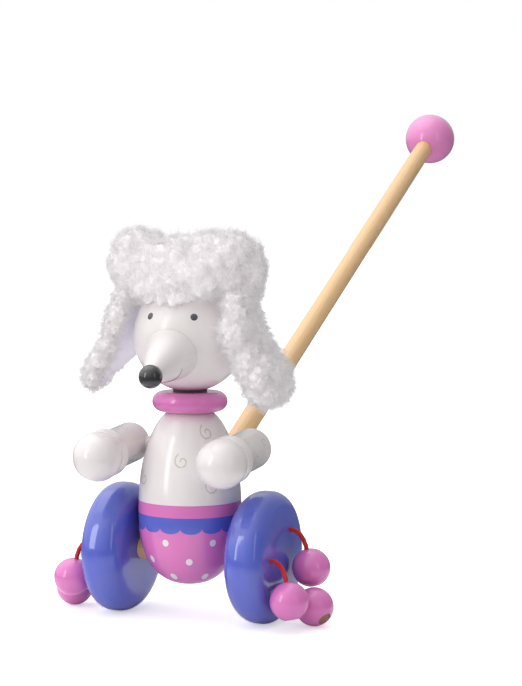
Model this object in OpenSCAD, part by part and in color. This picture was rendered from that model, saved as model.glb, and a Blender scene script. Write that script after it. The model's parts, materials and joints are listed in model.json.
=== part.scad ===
// Push-along poodle: a turned wooden figure on two wheels, pushed by a long
// rod, with a fur topknot and ears and three cord-hung beads on each wheel.
// Frame: +Z up, ground at z = 0, the figure faces -Y and its left side is +X.
// The origin is on the ground under the axle, in the figure's middle plane.
// All lengths are in millimetres.

/* [Wheels] */
// Wheel radius
wheel_r = 35; // [33:0.5:37]
// Wheel thickness
wheel_w = 22; // [20:0.5:23]
// Rounding of the tread's outer edge
tread_out_r = 8.5; // [6:0.5:10]
// Rounding of the tread's inner edge
tread_in_r = 11; // [8:0.5:11]
// Distance between the wheels' middle planes
track = 82; // [82:0.5:86]
// Sideways end float of the axle, taken up towards the left wheel
axle_float = 1.5; // [0:0.1:2]
// Radius of the axle dowel
axle_r = 6; // [5:0.5:7]

/* [Body] */
// Greatest radius of the body
body_r = 27.6; // [25:0.1:28]
// Height at which the body is widest
body_waist_z = 57; // [55:0.5:60]
// Lowest point of the body
body_bottom_z = 17.9; // [16:0.1:20]
// Flat top of the body, under the collar
body_top_z = 110.7; // [108:0.1:112]
// Height above the waist at which the upper curve would close
body_rise = 58; // [57:0.5:62]

/* [Neck] */
// Outer radius of the collar ring
collar_r = 20.1; // [18:0.1:22]
// Height of the collar ring
collar_h = 10.5; // [9:0.1:12]
// Radius of the neck washer
washer_r = 9.2; // [8:0.1:11]
// Thickness of the neck washer
washer_h = 1.1; // [0.8:0.1:2]
// Radius of the neck dowel
neck_r = 5; // [4:0.5:6]

/* [Head] */
// Radius of the head ball
head_r = 30.2; // [28:0.1:32]
// Radius of the flat under the head
head_flat_r = 8.8; // [8:0.1:10]
// How far the face is turned towards the left at rest
head_turn = 3; // [-10:1:10]
// Downward pitch of the snout
snout_pitch = 18.5; // [10:0.5:25]
// Radius of the snout where it meets the head
snout_base_r = 14; // [12:0.1:16]
// Radius of the snout at the nose
snout_tip_r = 5; // [4.5:0.1:5.5]
// Distance of the nose ball's centre from the head's centre
nose_reach = 56.5; // [54:0.5:60]
// Radius of the nose ball
nose_r = 6.15; // [5.8:0.05:6.5]

/* [Arms] */
// Radius of the paw ball
paw_r = 13.1; // [12:0.1:14]
// Radius of the cuff band
cuff_r = 12.7; // [12:0.1:13.2]
// Radius of the upper arm
arm_r = 10.8; // [10:0.1:11]
// Distance from the paw's centre to the shoulder dowel
arm_len = 38.2; // [36:0.1:42]
// Distance of each arm's axis from the figure's middle plane
arm_x = 35.6; // [35:0.1:37]
// Height of the shoulder dowels
shoulder_z = 92.1; // [90:0.1:94]
// Downward slope of the arms at rest
arm_droop = 5.2; // [0:0.1:10]

/* [Push rod] */
// Radius of the push rod
rod_r = 6; // [5:0.5:7]
// Slope of the push rod above the horizontal
rod_slope = 27.4; // [24:0.1:32]
// Height at which the rod's axis meets the body's axis
rod_z = 55.5; // [52:0.5:60]
// Distance along the rod from the body's axis to the handle ball's centre
rod_reach = 463.5; // [400:0.5:500]
// Radius of the handle ball
ball_r = 17.5; // [16:0.1:20]

/* [Beads] */
// Bead radius
bead_r = 10.2; // [9:0.1:10.4]
// Cord radius
cord_r = 1.2; // [1:0.1:1.4]
// Radius of the plug that closes each bead
plug_r = 3.6; // [3:0.1:4]
// Radius of the circle of cord holes in each wheel
hole_circle_r = 17; // [16:0.5:18]
// Depth of each cord hole
hole_depth = 8; // [6:0.5:10]

/* [Fur] */
// Radius of each side lobe of the topknot
lobe_r = 22; // [20:0.5:24]
// Distance of each lobe's centre from the head's middle plane
lobe_x = 21.5; // [18:0.5:24]
// Height of the lobes' centres above the head's centre
lobe_rise = 35; // [32:0.5:38]
// Thickness of the ears' fur
ear_fur_t = 9; // [7:0.5:10]
// Thickness of the ears' lining
lining_t = 1.4; // [1:0.1:2]
// Length of the left ear
ear_len_left = 55; // [50:0.5:60]
// Length of the right ear
ear_len_right = 48; // [45:0.5:60]
// Outward splay of the left ear
ear_splay_left = 15; // [10:1:30]
// Outward splay of the right ear
ear_splay_right = 24; // [10:1:30]

/* [Hidden] */

// Clearances: a glued joint, a turning joint, and soft goods from what they rest on
glue_gap = 0.02;
run_gap = 0.05;
soft_gap = 0.3;
eps = 0.01;

// Colours
white_paint = [0.93, 0.92, 0.92];
pink_paint = [0.87, 0.45, 0.75];
blue_paint = [0.38, 0.42, 0.80];
black_paint = [0.10, 0.10, 0.11];
bare_wood = [0.89, 0.71, 0.49];
cord_red = [0.80, 0.08, 0.10];
fur_white = [0.90, 0.88, 0.89];
lining_lilac = [0.80, 0.80, 0.88];
felt_grey = [0.30, 0.30, 0.32];

// Wheels and axle
left_wheel_x = track / 2 + axle_float;
right_wheel_x = -track / 2 + axle_float;
axle_seat = 12;
axle_half = track / 2 - wheel_w / 2 + axle_seat;

// Body curve: two superellipse halves that meet at the waist
low_power = 2.4;
high_power = 2.2;
profile_steps = 18;

// Neck and head
collar_z = body_top_z + collar_h / 2;
washer_z = body_top_z + collar_h;
head_flat_z = washer_z + washer_h;
head_z = head_flat_z + sqrt(head_r * head_r - head_flat_r * head_flat_r);
neck_in_body = 14;
neck_in_head = 16;
neck_low_z = body_top_z - neck_in_body;
neck_high_z = head_flat_z + neck_in_head;

// Snout, measured along its own axis from the head's centre
snout_start = sqrt(head_r * head_r - snout_base_r * snout_base_r);
snout_end = nose_reach - 3.7;
snout_bulge = 0.7;
spigot_r = 6;
spigot_len = 10;
nose_peg_r = 1.5;
nose_peg_len = 9;

// Shoulders
shoulder_r = 4;
shoulder_in = 17;
shoulder_out = arm_x + 5;

// Push rod
rod_start = 9;

// Ears: a hinge line along the top edge of each, in the head's turned frame
ear_top_x = 31.5;
ear_top_z = head_z + 14;
ear_top_t = 3;
ear_top_round = 3;
ear_gap = 0.2;
ear_round = 11;
ear_front_y = -17;
ear_back_y = 30;
ear_narrow = 8;
ear_room = 6;

// Each cord: hole angle round the axle, bend angle, bend radius, straight run, lean
left_cords = [
    [55, 77.5, 9, 13.4, 6],
    [175, 77.5, 9, 13.4, -6],
    [295, 42, 14.6, 10.4, -31]
];
right_cords = [
    [165, 77.5, 9, 13.4, 0],
    [285, 27, 12, 16.5, -19],
    [45, 77.5, 9, 13.4, 6]
];
plug_len = 3.8;
knot_x = 2.2;
knot_r = 2.6;
cord_joint = 0.03;
plug_recess = 0.6;

// Radius of the body at height z
function body_radius(z) = z < body_waist_z
    ? let (t = (body_waist_z - z) / (body_waist_z - body_bottom_z))
        body_r * pow(max(0, 1 - pow(t, low_power)), 1 / low_power)
    : let (t = (z - body_waist_z) / body_rise)
        body_r * pow(max(0, 1 - pow(t, high_power)), 1 / high_power);

// Heights of the body curve, closer together near both ends
function low_heights() = [for (i = [0 : profile_steps])
    body_waist_z - (body_waist_z - body_bottom_z) * cos(90 * i / profile_steps)];
function high_heights() = [for (i = [1 : profile_steps])
    body_waist_z + (body_top_z - body_waist_z) * sin(90 * i / profile_steps)];

// Places the children along +X at a height and at a distance along Y
module along_x(y, z, x = 0) {
    translate([x, y, z]) rotate([0, 90, 0]) children();
}

// Places the children along the push rod, from the body's axis outwards
module along_rod(s = 0) {
    translate([0, 0, rod_z]) rotate([rod_slope - 90, 0, 0]) translate([0, 0, s]) children();
}

// The turned frame of the head, with its origin at the head's centre
module head_frame() {
    translate([0, 0, head_z]) rotate([0, 0, head_turn]) children();
}

// The snout's axis as +Z, in the head's frame
module snout_frame(s = 0) {
    head_frame() rotate([90 + snout_pitch, 0, 0]) translate([0, 0, s]) children();
}

// Body: turned wood with drilled sockets
module body() {
    color(white_paint) difference() {
        rotate_extrude($fn = 128) polygon(concat(
            [for (z = low_heights()) [body_radius(z), z]],
            [for (z = high_heights()) [body_radius(z), z]],
            [[0, body_top_z]]
        ));
        along_x(0, wheel_r, -body_r - 1) cylinder(r = axle_r + run_gap, h = 2 * body_r + 2, $fn = 64);
        along_rod(rod_start - 1) cylinder(r = rod_r + glue_gap, h = 2 * body_r, $fn = 64);
        translate([0, 0, neck_low_z - 1])
            cylinder(r = neck_r + glue_gap, h = neck_in_body + 2, $fn = 64);
        for (side = [-1, 1])
            along_x(0, shoulder_z, side > 0 ? shoulder_in - 1 : -body_r - 1)
                cylinder(r = shoulder_r + run_gap, h = body_r + 2 - shoulder_in, $fn = 48);
    }
}

// Collar: a ring with a full-round rim
module collar() {
    rim = collar_h / 2;
    color(pink_paint) translate([0, 0, collar_z]) rotate_extrude($fn = 96) {
        translate([neck_r + glue_gap, -rim]) square([collar_r - rim - neck_r - glue_gap, collar_h]);
        intersection() {
            translate([collar_r - rim, 0]) circle(r = rim, $fn = 64);
            translate([collar_r - rim, -rim]) square([rim, collar_h]);
        }
    }
}

module neck_washer() {
    color(felt_grey) translate([0, 0, washer_z + eps]) difference() {
        cylinder(r = washer_r, h = washer_h - 2 * eps, $fn = 64);
        translate([0, 0, -1]) cylinder(r = neck_r + run_gap, h = washer_h + 2, $fn = 64);
    }
}

module neck_dowel() {
    color(bare_wood) translate([0, 0, neck_low_z])
        cylinder(r = neck_r, h = neck_high_z - neck_low_z, $fn = 64);
}

// Head: a ball cut flat under the chin and where the snout sits
module head() {
    color(white_paint) difference() {
        translate([0, 0, head_z]) sphere(r = head_r, $fn = 128);
        translate([0, 0, head_flat_z - head_r]) cylinder(r = head_r, h = head_r, $fn = 64);
        snout_frame(snout_start) cylinder(r = head_r, h = head_r, $fn = 64);
        snout_frame(snout_start - spigot_len - 1)
            cylinder(r = spigot_r + glue_gap, h = spigot_len + 2, $fn = 64);
        translate([0, 0, head_flat_z - 1])
            cylinder(r = neck_r + run_gap, h = neck_in_head + 2, $fn = 64);
    }
}

// Snout: a turned cone with a spigot, dished for the nose ball
module snout() {
    steps = 8;
    span = snout_end - snout_start;
    spigot_start = snout_start - spigot_len;
    color(white_paint) difference() {
        snout_frame() rotate_extrude($fn = 96) polygon(concat(
            [[0, spigot_start], [spigot_r, spigot_start], [spigot_r, snout_start + eps]],
            [for (i = [0 : steps]) let (t = i / steps) [
                snout_base_r + (snout_tip_r - snout_base_r) * t + 4 * snout_bulge * t * (1 - t),
                snout_start + eps + span * t
            ]],
            [[0, snout_start + eps + span]]
        ));
        snout_frame(nose_reach) sphere(r = nose_r + glue_gap, $fn = 64);
        snout_frame(nose_reach - nose_peg_len - 1)
            cylinder(r = nose_peg_r + glue_gap, h = nose_peg_len, $fn = 32);
    }
}

module nose() {
    color(black_paint) difference() {
        snout_frame(nose_reach) sphere(r = nose_r, $fn = 64);
        snout_frame(nose_reach - nose_r - 1) cylinder(r = nose_peg_r + glue_gap, h = nose_r + 1, $fn = 32);
    }
}

module nose_peg() {
    color(bare_wood) snout_frame(nose_reach - nose_peg_len)
        cylinder(r = nose_peg_r, h = nose_peg_len - 0.2, $fn = 32);
}

// Topknot: the room the fur takes up, as two lobes and a fringe on the head
module topknot() {
    color(fur_white) difference() {
        head_frame() union() {
            for (side = [-1, 1])
                translate([side * lobe_x, 0, lobe_rise]) sphere(r = lobe_r, $fn = 48);
            translate([0, 4, lobe_rise - 8]) sphere(r = lobe_r + 4, $fn = 48);
            translate([0, -17, lobe_rise - 10]) sphere(r = lobe_r - 4, $fn = 48);
        }
        translate([0, 0, head_z]) sphere(r = head_r + soft_gap, $fn = 64);
        translate([0, 0, head_z - head_r])
            cylinder(r = 2 * head_r, h = head_r + ear_top_z - head_z + ear_room, $fn = 64);
    }
}

// An ear layer hanging from its hinge line: it starts t0 outside the hinge plane and
// is t_top thick along the top edge and t_low thick below; side is 1 or -1
module ear_layer(side, len, splay, t0, t_top, t_low) {
    head_frame() translate([side * ear_top_x, 0, ear_top_z - head_z]) rotate([0, -side * splay, 0])
        mirror([side > 0 ? 0 : 1, 0, 0]) translate([t0, 0, 0]) hull() {
            for (y = [ear_front_y + ear_narrow, ear_back_y - ear_narrow])
                translate([0, y, -ear_top_round]) rotate([0, 90, 0])
                    cylinder(r = ear_top_round, h = t_top, $fn = 32);
            for (y = [ear_front_y + ear_round, ear_back_y - ear_round])
                translate([0, y, ear_round - len]) rotate([0, 90, 0])
                    cylinder(r = ear_round, h = t_low, $fn = 32);
        }
}

module ear_fur(side, len, splay) {
    color(fur_white) ear_layer(side, len, splay, ear_gap / 2, ear_top_t, ear_fur_t);
}
module ear_lining(side, len, splay) {
    color(lining_lilac) ear_layer(side, len, splay, -lining_t - ear_gap / 2, lining_t, lining_t);
}

// A turned rod along +Z with its low and high edges rounded
module rounded_rod(r, len, low_round, high_round) {
    rotate_extrude($fn = 96) intersection() {
        square([r + 1, len]);
        union() {
            translate([0, low_round]) square([r, len - low_round - high_round]);
            if (low_round > 0) {
                square([r - low_round, len - high_round]);
                translate([r - low_round, low_round]) circle(r = low_round, $fn = 48);
            }
            if (high_round > 0) {
                translate([0, low_round]) square([r - high_round, len - low_round]);
                translate([r - high_round, len - high_round]) circle(r = high_round, $fn = 48);
            }
        }
    }
}

// An arm, turned along its own axis: paw ball, cuff band and upper arm
module arm(side) {
    cuff_start = 4.4;
    cuff_end = 12.2;
    arm_end = arm_len + 6.2;
    end_round = 6;
    cuff_round = 1.6;
    color(white_paint) difference() {
        translate([side * arm_x, 0, shoulder_z]) rotate([arm_droop - 90, 0, 0]) translate([0, 0, -arm_len]) {
            sphere(r = paw_r, $fn = 96);
            translate([0, 0, cuff_start - 1.5]) cylinder(r = cuff_r - 1, h = 4, $fn = 96);
            translate([0, 0, cuff_start]) rounded_rod(cuff_r, cuff_end - cuff_start, cuff_round, cuff_round);
            translate([0, 0, cuff_end - 2]) rounded_rod(arm_r, arm_end - cuff_end + 2, 0, end_round);
        }
        along_x(0, shoulder_z, side > 0 ? 0 : -shoulder_out)
            cylinder(r = shoulder_r + glue_gap, h = shoulder_out, $fn = 48);
    }
}
module left_arm() arm(1);
module right_arm() arm(-1);

// Shoulder dowel: glued in the arm, turning in the body
module shoulder_dowel(side) {
    color(bare_wood) along_x(0, shoulder_z, side > 0 ? shoulder_in : 0.5 - shoulder_out)
        cylinder(r = shoulder_r, h = shoulder_out - 0.5 - shoulder_in, $fn = 48);
}
module left_shoulder_dowel() shoulder_dowel(1);
module right_shoulder_dowel() shoulder_dowel(-1);

module axle() {
    color(bare_wood) along_x(0, wheel_r, axle_float - axle_half + 0.5)
        cylinder(r = axle_r, h = 2 * axle_half - 1, $fn = 64);
}

// Height and depth of a cord hole at an angle round the axle
function hole_y(a) = hole_circle_r * cos(a);
function hole_z(a) = wheel_r + hole_circle_r * sin(a);

// A wheel: side is 1 or -1, and its outer face looks along side * X
module wheel(side, x, cords) {
    half = wheel_w / 2;
    color(blue_paint) difference() {
        translate([x, 0, wheel_r]) rotate([0, side * 90, 0]) rotate_extrude($fn = 160) {
            translate([0, -half]) square([wheel_r - tread_in_r, wheel_w]);
            translate([0, tread_in_r - half]) square([wheel_r - tread_out_r, wheel_w - tread_in_r]);
            translate([0, tread_in_r - half]) square([wheel_r, wheel_w - tread_in_r - tread_out_r]);
            translate([wheel_r - tread_in_r, tread_in_r - half]) circle(r = tread_in_r, $fn = 96);
            translate([wheel_r - tread_out_r, half - tread_out_r]) circle(r = tread_out_r, $fn = 96);
        }
        along_x(0, wheel_r, side > 0 ? x - half - 1 : x + half - axle_seat)
            cylinder(r = axle_r + glue_gap, h = axle_seat + 1, $fn = 64);
        for (c = cords)
            along_x(hole_y(c[0]), hole_z(c[0]), x + (side > 0 ? half - hole_depth : -half - 1))
                cylinder(r = cord_r + run_gap, h = hole_depth + 1, $fn = 32);
    }
}
module left_wheel() wheel(1, left_wheel_x, left_cords);
module right_wheel() wheel(-1, right_wheel_x, right_cords);

// The frame of a cord: origin at its hole's mouth, +X outwards, -Z the way it bends
module cord_frame(side, c) {
    face_x = (side > 0 ? left_wheel_x : right_wheel_x) + side * wheel_w / 2;
    translate([face_x, hole_y(c[0]), hole_z(c[0])]) rotate([c[4], 0, 0])
        mirror([side > 0 ? 0 : 1, 0, 0]) children();
}

// The far end of a cord's bend as the origin, with +X along its straight run
module cord_run(c) {
    translate([c[2] * sin(c[1]), 0, -c[2] * (1 - cos(c[1]))]) rotate([0, c[1], 0]) children();
}

// A cord: a stub in the wheel, one bend, a straight run, and a knot inside the bead
module cord(side, c) {
    color(cord_red) cord_frame(side, c) {
        translate([0.5 - hole_depth, 0, 0]) rotate([0, 90, 0])
            cylinder(r = cord_r, h = hole_depth - 0.5, $fn = 32);
        translate([0, 0, -c[2]]) rotate([-90, 0, 0]) rotate([0, 0, -90])
            rotate_extrude(angle = c[1], $fn = 96) translate([c[2], 0]) circle(r = cord_r, $fn = 32);
        cord_run(c) rotate([0, 90, 0]) {
            cylinder(r = cord_r, h = c[3] + knot_x, $fn = 32);
            sphere(r = cord_r + cord_joint, $fn = 32);
            translate([0, 0, c[3] + knot_x]) sphere(r = knot_r, $fn = 32);
        }
        rotate([0, 90, 0]) sphere(r = cord_r + cord_joint, $fn = 32);
    }
}

// A bead threaded on its cord, with a plug bore at the far end
module bead(side, c) {
    color(pink_paint) cord_frame(side, c) cord_run(c) translate([c[3], 0, 0]) rotate([0, 90, 0])
    difference() {
        sphere(r = bead_r, $fn = 64);
        translate([0, 0, -bead_r - 1]) cylinder(r = cord_r + run_gap, h = bead_r + 2, $fn = 32);
        translate([0, 0, knot_x - knot_r - 0.2]) cylinder(r = plug_r + glue_gap, h = bead_r * 2, $fn = 48);
    }
}

// Distance from a bead's centre to its plug's outer face
function plug_seat() = sqrt(bead_r * bead_r - plug_r * plug_r) - plug_recess;

module plug(side, c) {
    color(bare_wood) cord_frame(side, c) cord_run(c) translate([c[3] + plug_seat() - plug_len, 0, 0])
        rotate([0, 90, 0]) cylinder(r = plug_r, h = plug_len, $fn = 48);
}

module handle_rod() {
    color(bare_wood) along_rod(rod_start) cylinder(r = rod_r, h = rod_reach - rod_start, $fn = 64);
}

module handle_ball() {
    color(pink_paint) difference() {
        along_rod(rod_reach) sphere(r = ball_r, $fn = 96);
        along_rod(rod_reach - ball_r - 1) cylinder(r = rod_r + glue_gap, h = ball_r + 1.5, $fn = 64);
    }
}

body();
collar();
neck_washer();
neck_dowel();
head();
snout();
nose();
nose_peg();
topknot();
ear_fur(1, ear_len_left, ear_splay_left);  // left_ear_fur
ear_lining(1, ear_len_left, ear_splay_left);  // left_ear_lining
ear_fur(-1, ear_len_right, ear_splay_right);  // right_ear_fur
ear_lining(-1, ear_len_right, ear_splay_right);  // right_ear_lining
left_arm();
right_arm();
left_shoulder_dowel();
right_shoulder_dowel();
axle();
left_wheel();
right_wheel();
handle_rod();
handle_ball();
cord(1, left_cords[0]);  // left_cord_1
cord(1, left_cords[1]);  // left_cord_2
cord(1, left_cords[2]);  // left_cord_3
cord(-1, right_cords[0]);  // right_cord_1
cord(-1, right_cords[1]);  // right_cord_2
cord(-1, right_cords[2]);  // right_cord_3
bead(1, left_cords[0]);  // left_bead_1
bead(1, left_cords[1]);  // left_bead_2
bead(1, left_cords[2]);  // left_bead_3
bead(-1, right_cords[0]);  // right_bead_1
bead(-1, right_cords[1]);  // right_bead_2
bead(-1, right_cords[2]);  // right_bead_3
plug(1, left_cords[0]);  // left_plug_1
plug(1, left_cords[1]);  // left_plug_2
plug(1, left_cords[2]);  // left_plug_3
plug(-1, right_cords[0]);  // right_plug_1
plug(-1, right_cords[1]);  // right_plug_2
plug(-1, right_cords[2]);  // right_plug_3
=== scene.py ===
import json
import math

import bmesh
import bpy
import numpy as np
from mathutils import Matrix, Vector


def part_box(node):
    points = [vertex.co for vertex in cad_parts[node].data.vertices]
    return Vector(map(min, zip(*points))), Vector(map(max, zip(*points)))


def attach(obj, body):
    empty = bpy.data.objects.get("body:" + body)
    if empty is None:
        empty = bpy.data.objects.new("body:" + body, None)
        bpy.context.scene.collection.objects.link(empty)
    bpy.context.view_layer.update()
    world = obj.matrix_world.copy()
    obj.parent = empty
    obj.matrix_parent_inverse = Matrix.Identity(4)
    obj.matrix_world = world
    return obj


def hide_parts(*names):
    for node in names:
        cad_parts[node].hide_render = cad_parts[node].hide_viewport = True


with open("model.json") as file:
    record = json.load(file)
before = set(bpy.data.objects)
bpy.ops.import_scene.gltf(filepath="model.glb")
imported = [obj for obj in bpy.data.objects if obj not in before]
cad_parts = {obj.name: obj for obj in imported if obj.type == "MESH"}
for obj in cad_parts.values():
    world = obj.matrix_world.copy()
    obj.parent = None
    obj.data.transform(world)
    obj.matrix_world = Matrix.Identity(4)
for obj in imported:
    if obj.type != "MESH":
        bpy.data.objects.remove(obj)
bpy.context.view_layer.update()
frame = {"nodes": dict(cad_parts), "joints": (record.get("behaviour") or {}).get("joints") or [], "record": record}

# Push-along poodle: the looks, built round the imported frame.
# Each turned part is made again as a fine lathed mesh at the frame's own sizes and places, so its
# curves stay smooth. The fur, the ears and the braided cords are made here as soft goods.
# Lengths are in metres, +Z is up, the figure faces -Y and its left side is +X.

MM = 0.001
SNUG = 0.02 * MM  # room round what is glued into a bore
LOOSE = 0.05 * MM  # room round what turns in a bore
RECORD = frame["record"]
JOINTS = {joint["name"]: joint for joint in frame["joints"]}
BODY_OF = {node: body for body, nodes in RECORD["behaviour"]["bodies"].items() for node in nodes}
TURN = 2 * math.pi
X_AXIS = Vector((1, 0, 0))
UP = Vector((0, 0, 1))
FRONT = Vector((0, -1, 0))
OUTWARD = {"left": X_AXIS, "right": -X_AXIS}


# ---- places in the frame

def centre(node):
    low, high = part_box(node)
    return (low + high) / 2


def size(node):
    low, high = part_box(node)
    return high - low


def pivot(joint):
    return Vector(JOINTS[joint]["pos_m"])


def local_frame(origin, axis, front=FRONT):
    """A matrix at origin whose Z runs along axis and whose -Y faces front as nearly as it can."""
    z = Vector(axis).normalized()
    back = -Vector(front)
    y = (back - z * back.dot(z)).normalized()
    x = y.cross(z)
    matrix = Matrix((x, y, z)).transposed().to_4x4()
    matrix.translation = origin
    return matrix


# ---- mesh building

def add_object(name, data):
    thing = bpy.data.objects.new(name, data)
    bpy.context.scene.collection.objects.link(thing)
    return thing


def make_object(name, points, faces):
    mesh = bpy.data.meshes.new(name)
    mesh.from_pydata(points, [], faces)
    mesh.shade_smooth()
    mesh.update()
    return add_object(name, mesh)


def arc(across, along, radius, start, end, steps=12):
    """Outline points round (across, along), with angles counted from outwards towards +Z."""
    angles = [math.radians(start + (end - start) * i / steps) for i in range(steps + 1)]
    return [(across + radius * math.cos(a), along + radius * math.sin(a)) for a in angles]


def lathe(name, outline, turns=160, closed=False):
    """Turns an outline of (radius, height) points about Z; the outside runs upwards.
    An open outline starts and ends on the axis, and a closed one is a ring's section."""
    points = []
    rings = []
    for radius, height in outline:
        if radius < 1e-7:
            rings.append([len(points)] * turns)
            points.append((0, 0, height))
            continue
        rings.append(list(range(len(points), len(points) + turns)))
        for i in range(turns):
            angle = TURN * i / turns
            points.append((radius * math.cos(angle), radius * math.sin(angle), height))
    pairs = list(zip(rings, rings[1:]))
    if closed:
        pairs.append((rings[-1], rings[0]))
    faces = []
    for low, high in pairs:
        for i in range(turns):
            j = (i + 1) % turns
            corners = [low[i], low[j], high[j], high[i]]
            faces.append(list(dict.fromkeys(corners)))
    return make_object(name, points, faces)


def tube_faces(rings, sides):
    """Faces of a closed tube of equal rings of points, with both ends filled."""
    faces = []
    for k in range(rings - 1):
        for i in range(sides):
            j = (i + 1) % sides
            faces.append([k * sides + i, k * sides + j, (k + 1) * sides + j, (k + 1) * sides + i])
    faces.append(list(range(sides - 1, -1, -1)))
    faces.append(list(range((rings - 1) * sides, rings * sides)))
    return faces


def crisp(piece, angle=32):
    """Smooth shading that keeps the edges of a turned part crisp."""
    piece.data.shade_smooth()
    piece.data.set_sharp_from_angle(angle=math.radians(angle))


def bake_modifiers(piece):
    """Turns a piece's modifiers into its mesh."""
    graph = bpy.context.evaluated_depsgraph_get()
    graph.update()
    mesh = bpy.data.meshes.new_from_object(piece.evaluated_get(graph))
    piece.modifiers.clear()
    piece.data = mesh


def drill(piece, *tools):
    """Cuts the tools out of a piece and removes them."""
    for tool in tools:
        cut = piece.modifiers.new("cut", "BOOLEAN")
        cut.operation = "DIFFERENCE"
        cut.solver = "EXACT"
        cut.object = tool
    bake_modifiers(piece)
    for tool in tools:
        bpy.data.objects.remove(tool)


def drill_bit(origin, axis, radius, start, end, turns=64):
    """A cylinder along axis from start to end, to cut with."""
    bit = lathe("bit", [(0, start), (radius, start), (radius, end), (0, end)], turns)
    bit.matrix_world = local_frame(origin, axis, (0.3, -1, 0.2))
    return bit


def dress(piece, material, body):
    """Gives a piece its material and its body."""
    piece.data.materials.clear()
    piece.data.materials.append(material)
    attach(piece, body)


def stand_in(piece, material, node):
    """The piece replaces this CAD node, which is hidden, and rides with the node's body."""
    dress(piece, material, BODY_OF[node])
    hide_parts(node)


def turned(node, outline, turns, matrix, material, bits=(), angle=32, closed=False):
    """Turns a node's fine shape in its own frame, drills it and puts it in the node's place."""
    piece = lathe(node, outline, turns, closed)
    piece.matrix_world = matrix
    if bits:
        drill(piece, *bits)
    crisp(piece, angle)
    stand_in(piece, material, node)


# ---- materials

class Shader:
    """A node material on one Principled surface; sockets and plain numbers mix freely."""

    def __init__(self, name):
        self.material = bpy.data.materials.new(name)
        self.material.use_nodes = True
        self.tree = self.material.node_tree
        self.surface = self.tree.nodes["Principled BSDF"]
        self.place = self.add("ShaderNodeTexCoord").outputs["Object"]

    def add(self, kind, **settings):
        node = self.tree.nodes.new(kind)
        for key, value in settings.items():
            setattr(node, key, value)
        return node

    def feed(self, socket, value):
        if isinstance(value, bpy.types.NodeSocket):
            self.tree.links.new(value, socket)
        elif socket.type == "RGBA" and len(value) == 3:
            socket.default_value = (*value, 1)
        else:
            socket.default_value = value

    def math(self, operation, *values):
        node = self.add("ShaderNodeMath", operation=operation)
        for socket, value in zip(node.inputs, values):
            self.feed(socket, value)
        return node.outputs[0]

    def times(self, first, second):
        return self.math("MULTIPLY", first, second)

    def plus(self, first, second):
        return self.math("ADD", first, second)

    def minus(self, first, second):
        return self.math("SUBTRACT", first, second)

    def hypot(self, x, y):
        return self.math("SQRT", self.plus(self.math("POWER", x, 2.0), self.math("POWER", y, 2.0)))

    def split(self, vector):
        node = self.add("ShaderNodeSeparateXYZ")
        self.feed(node.inputs[0], vector)
        return node.outputs

    def join(self, x, y, z):
        node = self.add("ShaderNodeCombineXYZ")
        for socket, value in zip(node.inputs, (x, y, z)):
            self.feed(socket, value)
        return node.outputs[0]

    def stretch(self, vector, factors):
        node = self.add("ShaderNodeVectorMath", operation="MULTIPLY")
        self.feed(node.inputs[0], vector)
        self.feed(node.inputs[1], factors)
        return node.outputs[0]

    def noise(self, feature, detail=3, vector=None, stretch=(1, 1, 1), contrast=None):
        """Noise from 0 to 1 whose features are about this long, in metres."""
        vector = self.place if vector is None else vector
        node = self.add("ShaderNodeTexNoise")
        self.feed(node.inputs["Vector"], self.stretch(vector, stretch))
        self.feed(node.inputs["Scale"], 1 / feature)
        self.feed(node.inputs["Detail"], detail)
        return self.span(node.outputs["Fac"], *contrast) if contrast else node.outputs["Fac"]

    def span(self, value, low, high, start=0.0, end=1.0):
        """Maps low..high smoothly to start..end."""
        node = self.add("ShaderNodeMapRange", interpolation_type="SMOOTHSTEP")
        for socket, number in zip(node.inputs, (value, low, high, start, end)):
            self.feed(socket, number)
        return node.outputs[0]

    def below(self, value, edge, soft=0.05 * MM):
        """1 where value is below edge, 0 above it, with a soft step."""
        return self.span(self.minus(value, edge), -soft, soft, 1.0, 0.0)

    def mix(self, share, first, second):
        node = self.add("ShaderNodeMix", data_type="RGBA")
        self.feed(node.inputs["Factor"], share)
        self.feed(node.inputs["A"], first)
        self.feed(node.inputs["B"], second)
        return node.outputs["Result"]

    def most(self, values):
        """The highest of several masks."""
        result = values[0]
        for value in values[1:]:
            result = self.math("MAXIMUM", result, value)
        return result

    def bump(self, height, distance, strength=1.0, normal=None):
        node = self.add("ShaderNodeBump")
        self.feed(node.inputs["Height"], height)
        self.feed(node.inputs["Distance"], distance)
        self.feed(node.inputs["Strength"], strength)
        if normal is not None:
            self.feed(node.inputs["Normal"], normal)
        return node.outputs["Normal"]

    def round_the_axis(self):
        """(angle in radians from -Y towards +X, radius, height) of the shaded point."""
        x, y, z = self.split(self.place)
        return self.math("ARCTAN2", x, self.times(y, -1.0)), self.hypot(x, y), z

    def finish(self, **inputs):
        for key, value in inputs.items():
            title = key.replace("_", " ").title().replace("Ior", "IOR")
            self.feed(self.surface.inputs[title], value)
        return self.material


def shade(colour, factor):
    return tuple(channel * factor for channel in colour)


WHITE = (0.845, 0.795, 0.787)
PINK = (0.74, 0.185, 0.52)
BLUE = (0.095, 0.13, 0.59)
PALE_PINK = (0.84, 0.27, 0.60)
CHARCOAL = (0.028, 0.028, 0.031)
SWIRL = (0.58, 0.52, 0.44)
WOOD = (0.87, 0.56, 0.27)
WOOD_DARK = (0.62, 0.34, 0.13)


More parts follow.
